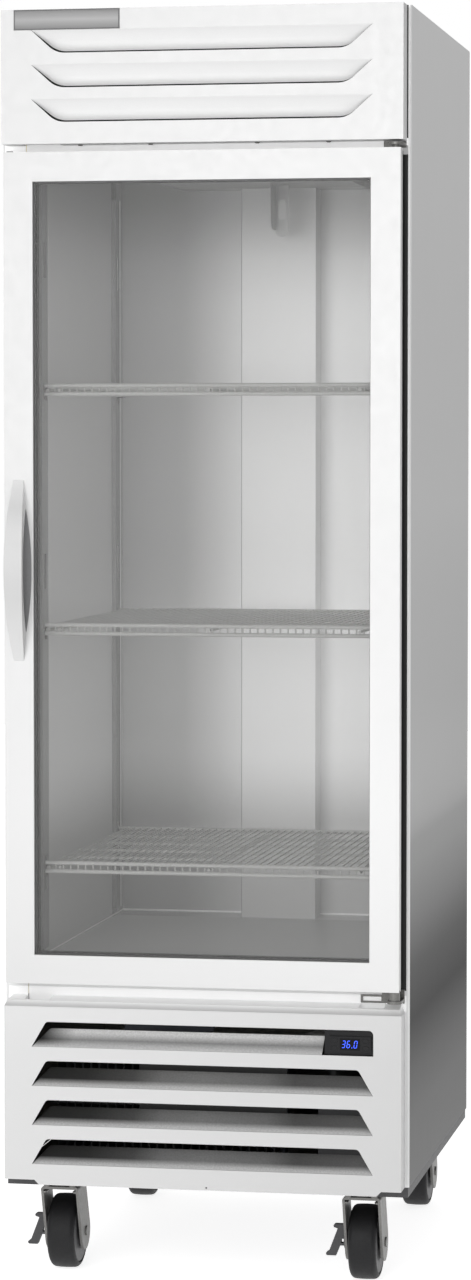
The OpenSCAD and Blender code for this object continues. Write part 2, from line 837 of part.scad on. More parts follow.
// A bracket, drawn pointing down to the door, with its fixed pin
module hinge_arm(z_tab0, z_tab1, z_arm, arm_t) {
    arm_w = 24;
    span([hinge_x - 26, flange_y - 3, z_tab0], [hinge_x + 12, flange_y - 0.05, z_tab1]);
    span([hinge_x - arm_w / 2, hinge_y, z_arm], [hinge_x + arm_w / 2, flange_y - 2, z_arm + arm_t]);
    rod_z([hinge_x, hinge_y, z_arm], arm_t, arm_w / 2);
}

module hinge_brackets() {
    color("silver") {
        hinge_arm(door_z1 + 2, hood_z - 0.4, door_z1 + 5, 4);
        rod_z([hinge_x, hinge_y, door_z1 - 18], 24, hinge_r);
        hinge_arm(ledge_back_z + 1.5, door_z0 - 1, door_z0 - 20, 5);
        // slotted tail of the lower bracket, which runs inwards along the sill
        difference() {
            span([hinge_x - 62, flange_y - 3, ledge_back_z + 1.5],
                 [hinge_x - 25, flange_y - 0.05, door_z0 - 11]);
            span([hinge_x - 58, flange_y - 3 - eps, ledge_back_z + 4.5],
                 [hinge_x - 27, flange_y + eps, door_z0 - 13.5]);
        }
        rod_z([hinge_x, hinge_y, door_z0 - 20], 38, hinge_r);
        rod_z([hinge_x, hinge_y, door_z0 - 16], 15.4, 9);
    }
}

// Pressed metal frame of the door, hollow at the back, with a lip in front of the glass
module door_frame() {
    t = 2;
    bush_r = hinge_r + 2;
    color("whitesmoke") difference() {
        ring_xz([door_half, door_z0, door_z1], [glass_half, glass_z0, glass_z1], door_y, door_back);
        ring_xz([glass_half + rebate, glass_z0 - rebate, glass_z1 + rebate],
                [glass_half - 1, glass_z0 + 1, glass_z1 - 1], door_y + lip, door_back + eps);
        ring_xz([door_half - t, door_z0 + t, door_z1 - t],
                [glass_half + rebate + t, glass_z0 - rebate - t, glass_z1 + rebate + t],
                door_y + t, door_back + eps);
        for (z = [door_z0 - eps, door_z1 - t - eps])
            rod_z([hinge_x, hinge_y, z], t + 2 * eps, z < door_z1 / 2 ? 9.8 : bush_r);
    }
}

// Blocks in the frame's corners, bored for the hinge pins
module hinge_bushes() {
    t = 2.1;
    x0 = glass_half + rebate + 2.1;
    color("ivory") for (z = [door_z0 + t, door_z1 - t - 24]) difference() {
        span([x0, door_y + t, z], [door_half - t, door_back - 0.1, z + 24]);
        rod_z([hinge_x, hinge_y, z - eps], 24 + 2 * eps, hinge_r + run);
    }
}

// Plastic inner frame that keeps the cold off the metal
module door_inner_frame() {
    color("black") ring_xz([door_half - 0.7, door_z0 + 4, door_z1 - 4],
                           [glass_half - 3, glass_z0 + 3, glass_z1 - 3], door_back, gasket_y - 0.05);
}

// Magnetic gasket with a fold round its outside
module door_gasket() {
    out = [gasket_half, door_z0 + 9, door_z1 - 9];
    in = [gasket_half - 18, door_z0 + 27, door_z1 - 27];
    fold = 3;
    mid = (gasket_y + gasket_end) / 2;
    color("black") difference() {
        ring_xz(out, in, gasket_y, gasket_end);
        ring_xz([out[0] + 1, out[1] - 1, out[2] + 1],
                [out[0] - fold, out[1] + fold, out[2] - fold], mid - 1, mid + 1);
    }
}

// Insulating glass: the outer and the inner pane
module door_glass() {
    gap = 0.1;
    half = glass_half + rebate - gap;
    z0 = glass_z0 - rebate + gap;
    z1 = glass_z1 + rebate - gap;
    y0 = door_y + lip;
    color("lightblue", 0.3) {
        span([-half, y0 + gap, z0], [half, y0 + gap + pane, z1]);
        span([-half, door_back - pane - gap, z0], [half, door_back - gap, z1]);
    }
}

module glass_spacer() {
    gap = 0.2;
    out = [glass_half + rebate - 1, glass_z0 - rebate + 1, glass_z1 + rebate - 1];
    in = [glass_half - 2, glass_z0 + 2, glass_z1 - 2];
    color("black") ring_xz(out, in, door_y + lip + pane + gap, door_back - pane - gap);
}

// Plan view outline of the grip, wide in the middle and narrow at its ends
module grip_outline(end_w, mid_w, h) {
    bow = (mid_w - end_w) / 2;
    r = (h * h / 4 + bow * bow) / (2 * bow);
    intersection_for (s = [-1, 1])
        translate([s * (r - mid_w / 2), 0]) circle(r = r, $fn = 360);
}

// Bowed grip: a curved band that meets the door at both ends
module door_handle() {
    r_out = (handle_h * handle_h / 4 + handle_d * handle_d) / (2 * handle_d);
    r_in = (grip_half * grip_half + grip_gap * grip_gap) / (2 * grip_gap);
    color("whitesmoke") translate([handle_x, door_y, handle_z]) intersection() {
        translate([-handle_w, 0, 0]) rotate([90, 0, 90]) linear_extrude(2 * handle_w) difference() {
            intersection() {
                translate([r_out - handle_d, 0]) circle(r = r_out, $fn = 360);
                translate([-handle_d - 1, -handle_h / 2]) square([handle_d + 1, handle_h]);
            }
            translate([r_in - grip_gap, 0]) circle(r = r_in, $fn = 360);
        }
        upright(-handle_d - 1, handle_d + 2) grip_outline(handle_end_w, handle_w, handle_h);
    }
}

// Thin oval pad on the door behind the grip
module handle_pad() {
    pad_w = 44;
    pad_end_w = 25;
    color("dimgray") translate([handle_x, 0, handle_z]) upright(door_y - 1, 0.95)
        intersection() {
            grip_outline(pad_end_w, pad_w, 2 * grip_half);
            square([pad_w, 2 * grip_half - 4], center = true);
        }
}

// ---- casters ----------------------------------------------------------------

// Places a caster's pieces: swivel axis at the origin, heights from the floor
module at_caster(side, end) {
    translate([side * caster_x, swivel_ys[end], 0]) children();
}

// Top plates with their ball races, kingpins and bolts
module caster_plates() {
    color("darkgray") for (side = [-1, 1], end = [0, 1]) at_caster(side, end) {
        difference() {
            span([-32, -42, base_z - plate_t], [32, 42, base_z - 0.05]);
            for (x = [-22, 22], y = [-32, 32]) rod_z([x, y, base_z - plate_t - eps], plate_t + 1, 4.5);
        }
        for (x = [-22, 22], y = [-32, 32]) {
            rod_z([x, y, base_z - plate_t - 4.5], 4.4, 5.5);
            rod_z([x, y, base_z - plate_t - 1], plate_t + 0.9, 4.3);
        }
        rod_z([0, 0, base_z - plate_t - 2], 2, race_r - 2);
        rod_z([0, 0, fork_top - 8], base_z - plate_t - fork_top + 8, king_r);
        rod_z([0, 0, fork_top - 8], 3.5, king_r + 4);
    }
}

// Point where the line from p touches the circle of radius r round c, on side s
function touch(p, c, r, s) =
    let (d = p - c, turn = atan2(d.y, d.x) + s * acos(r / norm(d)))
    c + r * [cos(turn), sin(turn)];

// One leg of a fork: as deep as the crown at the top, round about the axle
module fork_leg_outline() {
    top_z = fork_top - crown_r;
    axle = [trail, wheel_r];
    front = [-fork_half, top_z];
    back = [fork_half, top_z];
    difference() {
        union() {
            polygon([front, back, touch(back, axle, fork_end_r, -1), axle,
                     touch(front, axle, fork_end_r, 1)]);
            translate(axle) circle(r = fork_end_r);
        }
        translate(axle) circle(r = axle_r + 0.05);
    }
}

// Front view of a fork's crown, which is bent down into the legs
module fork_crown_outline(out) {
    bend_z = fork_top - crown_r;
    low = bend_z - 2;
    difference() {
        union() {
            translate([-out, low]) square([2 * out, bend_z - low]);
            translate([-out + crown_r, bend_z]) square([2 * (out - crown_r), crown_r]);
            for (s = [-1, 1]) translate([s * (out - crown_r), bend_z]) circle(r = crown_r);
        }
        translate([-fork_in, low - eps]) square([2 * fork_in, fork_top - fork_t - low + eps]);
    }
}

// Fork with its crown, lower race and axle bolt; leg_bolt is how far the bolt
// stands out on the left, where a brake pedal turns on it
module caster_fork(leg_bolt) {
    out = fork_in + fork_t;
    color("darkgray") {
        for (x = [-out, fork_in])
            translate([x, 0, 0]) rotate([90, 0, 90]) linear_extrude(fork_t) fork_leg_outline();
        difference() {
            union() {
                upright(-fork_half, 2 * fork_half) fork_crown_outline(out);
                rod_z([0, 0, fork_top - 1], 4.3, race_r - 3);
            }
            rod_z([0, 0, fork_top - fork_t - eps], 12, king_r + run);
        }
        rod_x([-out - leg_bolt, trail, wheel_r], 2 * out + leg_bolt + 2, axle_r);
        rod_x([out, trail, wheel_r], 2.5, 8.5);
    }
}

// Wheel: tread with round shoulders on a hub with a bore
module caster_wheel() {
    shoulder = 9;
    hub_half = wheel_w / 2 + 2;
    color("black") translate([0, trail, wheel_r]) rotate([0, 90, 0]) rotate_extrude($fn = 96)
        difference() {
            union() {
                intersection() {
                    translate([0, -wheel_w / 2]) square([wheel_r, wheel_w]);
                    union() {
                        translate([0, -wheel_w / 2]) square([wheel_r - shoulder, wheel_w]);
                        translate([0, -wheel_w / 2 + shoulder])
                            square([wheel_r, wheel_w - 2 * shoulder]);
                        for (s = [-1, 1])
                            translate([wheel_r - shoulder, s * (wheel_w / 2 - shoulder)])
                                circle(r = shoulder);
                    }
                }
                translate([0, -hub_half]) square([14, 2 * hub_half]);
            }
            translate([-eps, -hub_half - eps]) square([axle_r + run + eps, 2 * hub_half + 2 * eps]);
            for (s = [-1, 1]) translate([18, s * wheel_w / 2 - 5]) square([26, 10]);
        }
}

// Rocking brake pedal beside the left leg: an arm with a lip at each end
module brake_pedal() {
    out = fork_in + fork_t + 0.5;
    arm_d = 12;
    ends = [[-20, 25.5], [-33, -22.5]];
    color("dimgray") translate([-out, trail, wheel_r]) {
        difference() {
            union() {
                rod_x([-4, 0, 0], 4, 13);
                upright(-arm_d / 2, arm_d) {
                    polygon([[-3, 28.5], [-20, 28.5], [-20, 22.5], [-16, 21], [-30, -16],
                             [-33, -19.5], [-33, -25.5], [-19, -25.5], [-12, -8], [-3, -8]]);
                    for (end = ends) translate(end) circle(r = 3);
                }
            }
            rod_x([-4.5, 0, 0], 6, axle_r + run);
            rod_x([-10, 0, 0], 6, axle_r + 1);
        }
    }
}

// ---- drawing ----------------------------------------------------------------

side_panel_left();
side_panel_right();
top_panel();
rear_panel();
face_frame();
base_frame();
insulation();
liner();
hood_panel();
badge_plate();
lower_grille();
panel_screws();
controller_housing();
controller_window();
controller_key(0);  // controller_key_1
controller_key(1);  // controller_key_2
controller_key(2);  // controller_key_3
controller_key(3);  // controller_key_4
shelf_pilasters();
shelf_clips();
shelf_lower();
shelf_middle();
shelf_upper();
duct_cover();
evaporator_cover();
evaporator_coil();
evaporator_fan();
evaporator_motor();
lamp();
strap_bracket();
compressor();
condenser_coil();
coil_guard();
fan_shroud();
condenser_fan();
condenser_motor();
drain_pan();
refrigerant_lines();
electrical_box();
power_inlet();
hinge_brackets();
door_frame();
door_inner_frame();
door_gasket();
door_glass();
glass_spacer();
door_handle();
handle_pad();
hinge_bushes();
caster_plates();
at_caster(-1, 0) caster_fork(6);  // caster_fork_front_left
at_caster(1, 0) caster_fork(6);  // caster_fork_front_right
at_caster(-1, 1) caster_fork(4);  // caster_fork_rear_left
at_caster(1, 1) caster_fork(4);  // caster_fork_rear_right
at_caster(-1, 0) caster_wheel();  // caster_wheel_front_left
at_caster(1, 0) caster_wheel();  // caster_wheel_front_right
at_caster(-1, 1) caster_wheel();  // caster_wheel_rear_left
at_caster(1, 1) caster_wheel();  // caster_wheel_rear_right
at_caster(-1, 0) brake_pedal();  // brake_pedal_left
at_caster(1, 0) brake_pedal();  // brake_pedal_right
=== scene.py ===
import math

import bmesh
import bpy
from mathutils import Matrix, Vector


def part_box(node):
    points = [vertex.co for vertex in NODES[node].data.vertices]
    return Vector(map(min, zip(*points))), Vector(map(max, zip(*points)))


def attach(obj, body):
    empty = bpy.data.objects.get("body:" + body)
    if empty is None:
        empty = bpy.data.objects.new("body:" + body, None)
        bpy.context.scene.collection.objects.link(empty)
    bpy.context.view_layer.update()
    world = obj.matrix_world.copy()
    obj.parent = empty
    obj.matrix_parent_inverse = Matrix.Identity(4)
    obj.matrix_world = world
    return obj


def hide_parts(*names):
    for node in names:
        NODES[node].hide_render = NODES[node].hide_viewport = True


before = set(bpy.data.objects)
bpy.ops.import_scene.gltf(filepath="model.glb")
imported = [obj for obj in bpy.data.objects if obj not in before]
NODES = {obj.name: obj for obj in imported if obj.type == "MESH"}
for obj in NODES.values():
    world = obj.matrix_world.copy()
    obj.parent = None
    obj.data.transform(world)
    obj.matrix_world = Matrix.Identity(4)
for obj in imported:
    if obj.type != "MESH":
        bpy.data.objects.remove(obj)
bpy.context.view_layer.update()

MM = 0.001
FAR = 3                       # a limit well outside the object, in metres
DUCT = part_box("duct_cover")
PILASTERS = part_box("shelf_pilasters")

# heights between which the slow tones of the sheets run, in metres; most of these tones are painted light
# and shade
CABINET_Z = (0.17, 2.14)
GRILLE_Z = (0.17, 0.49)
DOOR_Z = (0.51, 1.9)
STORAGE_Z = (0.54, 1.93)
HOOD_Z = (1.9, 2.14)
BADGE_Z = (2.106, 2.14)

# stretch of the noise that makes brushed streaks
UPRIGHT = (900, 900, 9)
SIDEWAYS = (9, 9, 900)


# ---------------------------------------------------------------- camera, light and floor


def add_camera():
    """A long lens a little to the right of the cabinet, looking slightly down."""
    yaw, pitch = math.radians(10.46), math.radians(2.98)
    place = (1.21754, -6.67443, 1.4249)
    data = bpy.data.cameras.new("camera")
    data.lens = 108.13
    data.sensor_width = 36
    data.clip_start, data.clip_end = 0.1, 60
    camera = bpy.data.objects.new("camera", data)
    camera.location = place
    camera.rotation_euler = (math.pi / 2 - pitch, 0, yaw)
    bpy.context.scene.collection.objects.link(camera)
    bpy.context.scene.camera = camera


def add_area_light(name, place, target, size, power):
    """A softbox of size (width, height) at place that faces target."""
    data = bpy.data.lights.new(name, "AREA")
    data.shape = "RECTANGLE"
    data.size, data.size_y = size
    data.energy = power
    light = bpy.data.objects.new(name, data)
    light.location = place
    aim = Vector(target) - Vector(place)
    light.rotation_euler = aim.to_track_quat("-Z", "Y").to_euler()
    bpy.context.scene.collection.objects.link(light)


def add_world(shown, given):
    """White surroundings: brightness shown behind the object, and brightness given to it."""
    world = bpy.data.worlds.new("studio")
    world.use_nodes = True
    bpy.context.scene.world = world
    tree = world.node_tree
    tree.nodes.clear()
    path = tree.nodes.new("ShaderNodeLightPath")
    lit, seen = (tree.nodes.new("ShaderNodeBackground") for _ in range(2))
    lit.inputs["Strength"].default_value = given
    seen.inputs["Strength"].default_value = shown
    for background in (lit, seen):
        background.inputs["Color"].default_value = grey(1)
    mix = tree.nodes.new("ShaderNodeMixShader")
    output = tree.nodes.new("ShaderNodeOutputWorld")
    tree.links.new(path.outputs["Is Camera Ray"], mix.inputs[0])
    tree.links.new(lit.outputs[0], mix.inputs[1])
    tree.links.new(seen.outputs[0], mix.inputs[2])
    tree.links.new(mix.outputs[0], output.inputs["Surface"])


def add_floor():
    """Pale floor that glows a little, so that only a soft contact shadow is left on it."""
    half, glow = 12, 0.8
    mesh = bpy.data.meshes.new("floor")
    corners = [(-half, -half, 0), (half, -half, 0), (half, half, 0), (-half, half, 0)]
    mesh.from_pydata(corners, [], [(0, 1, 2, 3)])
    floor = bpy.data.objects.new("floor", mesh)
    bpy.context.scene.collection.objects.link(floor)
    paint = Paint("floor_white", (0.9, 0.9, 0.9), Roughness=0.7)
    paint.put("Base Color", paint.shade(paint.noise(3, detail=2), [(0.3, 0.93), (0.7, 0.95)]))
    paint.set("Emission Color", grey(1))
    paint.set("Emission Strength", glow)
    mesh.materials.append(paint.material)


# ---------------------------------------------------------------- materials


def grey(value):
    """A colourless tone as a shader colour."""
    return (value, value, value, 1)


class Paint:
    """A Principled material whose texture nodes are added one call at a time."""

    def __init__(self, name, colour, **sockets):
        self.material = bpy.data.materials.new(name)
        self.material.use_nodes = True
        self.tree = self.material.node_tree
        self.shader = self.tree.nodes["Principled BSDF"]
        self.set("Base Color", (*colour, 1))
        for socket, value in sockets.items():
            self.set(socket.replace("_", " "), value)

    def set(self, socket, value):
        """Gives a socket of the shader a plain value."""
        self.shader.inputs[socket].default_value = value

    def put(self, socket, output):
        """Feeds a socket of the shader from an output."""
        self.tree.links.new(output, self.shader.inputs[socket])

    def node(self, kind):
        """A new shader node."""
        return self.tree.nodes.new("ShaderNode" + kind)

    def place(self, scale=(1, 1, 1)):
        """Object-space coordinates in metres, scaled."""
        mapping = self.node("Mapping")
        mapping.inputs["Scale"].default_value = scale
        self.tree.links.new(self.node("TexCoord").outputs["Object"], mapping.inputs["Vector"])
        return mapping.outputs["Vector"]

    def noise(self, scale, detail=4, stretch=(1, 1, 1)):
        """Noise of the given scale, denser along the axes where stretch is large."""
        texture = self.node("TexNoise")
        texture.inputs["Scale"].default_value = scale
        texture.inputs["Detail"].default_value = detail
        texture.inputs["Roughness"].default_value = 0.55
        self.tree.links.new(self.place(stretch), texture.inputs["Vector"])
        return texture.outputs["Fac"]

    def ramp(self, fac, stops):
        """A colour for each value of fac; stops are (position, colour)."""
        ramp = self.node("ValToRGB")
        elements = ramp.color_ramp.elements
        (elements[0].position, elements[0].color) = stops[0]
        (elements[1].position, elements[1].color) = stops[-1]
        for position, colour in stops[1:-1]:
            elements.new(position).color = colour
        self.tree.links.new(fac, ramp.inputs["Fac"])
        return ramp.outputs["Color"]

    def shade(self, fac, stops):
        """A grey for each value of fac; stops are (position, brightness)."""
        return self.ramp(fac, [(position, grey(value)) for position, value in stops])

    def along(self, axis, low, high, start=0.0, end=1.0):
        """start at low to end at high along one object axis, in metres."""
        split = self.node("SeparateXYZ")
        self.tree.links.new(self.place(), split.inputs["Vector"])
        span = self.node("MapRange")
        for entry, value in (("From Min", low), ("From Max", high), ("To Min", start), ("To Max", end)):
            span.inputs[entry].default_value = value
        self.tree.links.new(split.outputs[axis], span.inputs["Value"])
        return span.outputs["Result"]

    def mix(self, how, fac, first, second):
        """Mixes two colours, each an output or a plain colour, by fac."""
        mix = self.node("Mix")
        mix.data_type = "RGBA"
        mix.blend_type = how
        for socket, value in (("Factor_Float", fac), ("A_Color", first), ("B_Color", second)):
            entry = next(i for i in mix.inputs if i.identifier == socket)
            if isinstance(value, bpy.types.NodeSocket):
                self.tree.links.new(value, entry)
            else:
                entry.default_value = value
        return next(o for o in mix.outputs if o.identifier == "Result_Color")

    def scale(self, colour, factor):
        """A colour times a single value; both are outputs."""
        scaled = self.node("VectorMath")
        scaled.operation = "SCALE"
        self.tree.links.new(colour, scaled.inputs[0])
        self.tree.links.new(factor, scaled.inputs["Scale"])
        return scaled.outputs["Vector"]

    def multiply(self, first, second):
        """The product of two colours."""
        return self.mix("MULTIPLY", 1.0, first, second)

    def blend(self, fac, first, second):
        """first where fac is 0, second where it is 1."""
        return self.mix("MIX", fac, first, second)

    def inside(self, limits):
        """1 where every named axis is within its limits, in metres, and 0 elsewhere."""
        split = self.node("SeparateXYZ")
        self.tree.links.new(self.place(), split.inputs["Vector"])
        result = None
        for axis, (low, high) in limits.items():
            for limit, side in ((low, "GREATER_THAN"), (high, "LESS_THAN")):
                test = self.node("Math")
                test.operation = side
                self.tree.links.new(split.outputs[axis], test.inputs[0])
                test.inputs[1].default_value = limit
                if result is None:
                    result = test.outputs[0]
                    continue
                both = self.node("Math")
                both.operation = "MULTIPLY"
                self.tree.links.new(result, both.inputs[0])
                self.tree.links.new(test.outputs[0], both.inputs[1])
                result = both.outputs[0]
        return result

    def bump(self, height, strength, depth=0.2 * MM):
        """Fine relief in the surface from a height output."""
        bump = self.node("Bump")
        bump.inputs["Strength"].default_value = strength
        bump.inputs["Distance"].default_value = depth
        self.tree.links.new(height, bump.inputs["Height"])
        self.put("Normal", bump.outputs["Normal"])


def front_paint(name):
    """The base of the sheets that face the front."""
    return Paint(name, (0.7, 0.7, 0.7), Metallic=0.15, Roughness=0.38)


def painted_sheet_shading(paint, stops, heights, right):
    """Painted light and shade: tone by height, times a slow change from 1 on the left to right on the right.
    """
    half = 0.34
    tone = paint.shade(paint.along("Z", *heights), stops)
    return paint.scale(tone, paint.along("X", -half, half, 1.0, right))


def finish_steel(paint, tone):
    """Adds the fine grain that all the front sheets share."""
    grain = paint.noise(900, detail=3)
    specks = paint.shade(grain, [(0.3, 0.955), (0.7, 1.0)])
    paint.put("Base Color", paint.multiply(tone, specks))
    paint.put("Roughness", paint.shade(paint.noise(60), [(0.3, 0.34), (0.7, 0.44)]))
    paint.bump(grain, 0.12)


def door_steel(name):
    """The front steel, with painted light that makes it a little lighter low on the door."""
    paint = front_paint(name)
    stops = [(0, 0.69), (0.1, 0.72), (0.22, 0.735), (0.5, 0.68), (1, 0.645)]
    finish_steel(paint, painted_sheet_shading(paint, stops, DOOR_Z, 1.08))
    return paint.material


def hood_steel(name):
    """The front steel, with flaps painted lighter as they lean in behind the face, against the shade that
    falls there, and a painted glow on their inner ends.
    """
    paint = front_paint(name)
    face_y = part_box("hood_panel")[0].y
    tone = painted_sheet_shading(paint, [(0, 0.645), (1, 0.635)], HOOD_Z, 1.08)
    # painted light: the flaps lighter the deeper they lean in, where shade would fall
    lean = paint.along("Y", face_y, face_y + 17 * MM)
    flap = paint.shade(lean, [(0.06, 0.655), (0.35, 0.735), (0.7, 0.86), (1.0, 0.95)])
    # painted glow: the inner ends of the flaps give off light to lift their shade
    inner_end = paint.along("Y", face_y + 8 * MM, face_y + 15.8 * MM)
    glow = paint.shade(inner_end, [(0, 0), (1, 0.16)])
    flaps_x, flaps_z = (-0.29, 0.29), (1.945, 2.108)
    flaps_y = (face_y + 1.2 * MM, face_y + 20 * MM)
    louvres = paint.inside({"X": flaps_x, "Y": flaps_y, "Z": flaps_z})
    finish_steel(paint, paint.blend(louvres, tone, flap))
    paint.put("Emission Strength", paint.blend(louvres, grey(0), glow))
    return paint.material


def grille_flaps(paint, face_y):
    """Painted light and shade of the louvre flaps: a painted highlight on the lip and painted shade further
    in, uneven across; the top row is lighter, with painted shade at its left end.
    """
    half, top_low, top_high = 0.3, 0.385, 0.395
    depth = paint.along("Y", face_y, face_y + 34 * MM)
    across = paint.along("X", -half, half)
    # painted highlight on the lip of each flap
    lip = paint.shade(depth, [(0.06, 0.80), (0.2, 0.98), (0.45, 0.98), (1, 0.98)])
    deep = paint.shade(depth, [(0.08, 0), (0.24, 0.55), (0.42, 1)])
    # painted shade deep in the louvres, lighter towards the middle
    inner = paint.shade(across, [
        (0.03, 0.03), (0.17, 0.05), (0.30, 0.12), (0.38, 0.27), (0.50, 0.32),
        (0.68, 0.26), (0.76, 0.14), (0.88, 0.17), (1, 0.22),
    ])
    top_flap = paint.shade(depth, [(0.06, 0.80), (0.2, 0.66), (0.42, 0.36), (0.8, 0.98)])
    corner = paint.shade(across, [(0.04, 0.08), (0.13, 1.0)])
    top_flap = paint.blend(deep, top_flap, paint.multiply(top_flap, corner))
    top_row = paint.shade(paint.along("Z", top_low, top_high), [(0, 0), (1, 1)])
    return paint.blend(top_row, paint.blend(deep, lip, inner), top_flap)


def grille_steel(name):
    """The front steel, with grainy louvre flaps, painted light and shade on its face, and a painted glow on
    the ledge under the door, which lies in the door's shade.
    """
    paint = front_paint(name)
    face_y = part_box("lower_grille")[0].y
    # painted light and shade: a dark line and a bright strip at the top of the face, darker to the right
    stops = [
        (0, 0.665), (0.7, 0.67), (0.93, 0.69), (0.942, 0.66), (0.955, 0.72), (0.98, 0.94), (1, 0.95)
    ]
    face = painted_sheet_shading(paint, stops, GRILLE_Z, 0.89)
    coarse = paint.shade(paint.noise(330, detail=4), [(0.3, 0.80), (0.7, 1.0)])
    flaps = paint.multiply(grille_flaps(paint, face_y), coarse)
    flaps_x, flaps_z = (-0.295, 0.295), (0.19, 0.45)
    flaps_y = (face_y + 1.3 * MM, face_y + 40 * MM)
    louvres = paint.inside({"X": flaps_x, "Y": flaps_y, "Z": flaps_z})
    finish_steel(paint, paint.blend(louvres, face, flaps))
    # painted glow on the ledge under the door, which lies in the door's shade
    ledge_low, ledge_high = 0.4708, 0.484
    ledge = paint.along("Z", ledge_low, ledge_high)
    paint.put("Emission Strength", paint.shade(ledge, [(0.1, 0), (0.5, 0.1), (1, 0.2)]))
    return paint.material


def side_steel(name):
    """Satin side sheet with a painted reflection, dark low down where it would mirror the floor, with a
    bright front return.
    """
    paint = Paint(name, (0.6, 0.6, 0.6), Roughness=0.4)
    bend_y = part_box("side_panel_left")[0].y + 3 * MM
    height = paint.along("Z", *CABINET_Z)
    # painted reflection and shade: the side face darkest a little above the floor and lighter upwards
    sheet = paint.shade(height, [
        (0.0, 0.29), (0.06, 0.265), (0.1, 0.215), (0.144, 0.13), (0.189, 0.18), (0.233, 0.30),
        (0.277, 0.39), (0.321, 0.44), (0.41, 0.51), (0.58, 0.70), (1.0, 0.85),
    ])
    front = paint.shade(height, [(0, 0.84), (1, 0.90)])
    outside = paint.along("Y", bend_y, bend_y + 2 * MM)
    streaks = paint.noise(1, detail=3, stretch=UPRIGHT)
    lines = paint.shade(streaks, [(0.25, 0.93), (0.75, 1.0)])
    paint.put("Base Color", paint.multiply(paint.blend(outside, front, sheet), lines))
    shine = paint.shade(height, [(0.3, 0.0), (0.5, 0.3), (0.75, 0.5)])
    paint.put("Specular IOR Level", paint.blend(outside, grey(0.5), shine))
    paint.put("Metallic", paint.shade(height, [(0.2, 0.0), (0.5, 0.35)]))
    paint.put("Roughness", paint.shade(streaks, [(0.3, 0.35), (0.7, 0.46)]))
    paint.bump(streaks, 0.08)
    return paint.material


def frame_steel(name):
    """Cabinet front: white, with a painted glow above and below the door, and painted shade behind the hood
    and in the joints beside the door.
    """
    paint = Paint(name, (0.9, 0.9, 0.9), Metallic=0.05, Roughness=0.4)
    tone = paint.shade(paint.along("Z", *CABINET_Z), [(0, 0.88), (1, 0.95)])
    # painted shade behind the hood and in the joints beside the door
    joint_x, joint_z = 0.329, (0.507, 1.91)
    hood_z, shadow = 1.922, grey(0.012)
    under_door, over_door = (0.4712, 0.4985), (1.895, 1.9215)
    painted_shade_places = (
        {"Z": (hood_z, FAR)},
        {"X": (joint_x, FAR), "Z": joint_z},
        {"X": (-FAR, -joint_x), "Z": joint_z},
    )
    for limits in painted_shade_places:
        tone = paint.blend(paint.inside(limits), tone, shadow)
    finish_steel(paint, tone)
    # painted light: a glow on the strips under and over the door, in the door's shade
    glow = paint.blend(paint.inside({"Z": under_door}), grey(0), grey(0.24))
    glow = paint.blend(paint.inside({"Z": over_door}), glow, grey(0.32))
    paint.put("Emission Strength", glow)
    return paint.material


def brushed(name, stops, heights, stretch, metallic, roughness):
    """Brushed steel: a slow tone by height, and fine streaks along the axis of small stretch."""
    paint = Paint(name, (0.6, 0.6, 0.6), Metallic=metallic, Roughness=roughness)
    tone = paint.shade(paint.along("Z", *heights), stops)
    streaks = paint.noise(1, detail=3, stretch=stretch)
    lines = paint.shade(streaks, [(0.25, 0.93), (0.75, 1.0)])
    paint.put("Base Color", paint.multiply(tone, lines))
    paint.put("Roughness", paint.shade(streaks, [(0.3, roughness - 0.05), (0.7, roughness + 0.06)]))
    paint.bump(streaks, 0.08)
    return paint.material


def speckled(name, colour, spread, scale, roughness, metallic=0.0, bump=0.15, coat=0.0, shine=0.5):
    """A plain finish with fine variation: moulded plastic, rubber, cast or painted metal."""
    paint = Paint(name, colour, Metallic=metallic, Roughness=roughness, Coat_Weight=coat)
    paint.set("Specular IOR Level", shine)
    grain = paint.noise(scale, detail=5)
    dark = tuple(c * (1 - spread) for c in colour) + (1,)
    light = tuple(min(1, c * (1 + spread)) for c in colour) + (1,)
    paint.put("Base Color", paint.ramp(grain, [(0.3, dark), (0.7, light)]))
    patches = paint.noise(scale / 6)
    paint.put("Roughness", paint.shade(patches, [(0.3, roughness - 0.05), (0.7, roughness + 0.06)]))
    paint.bump(grain, bump, 0.3 * MM)
    return paint.material


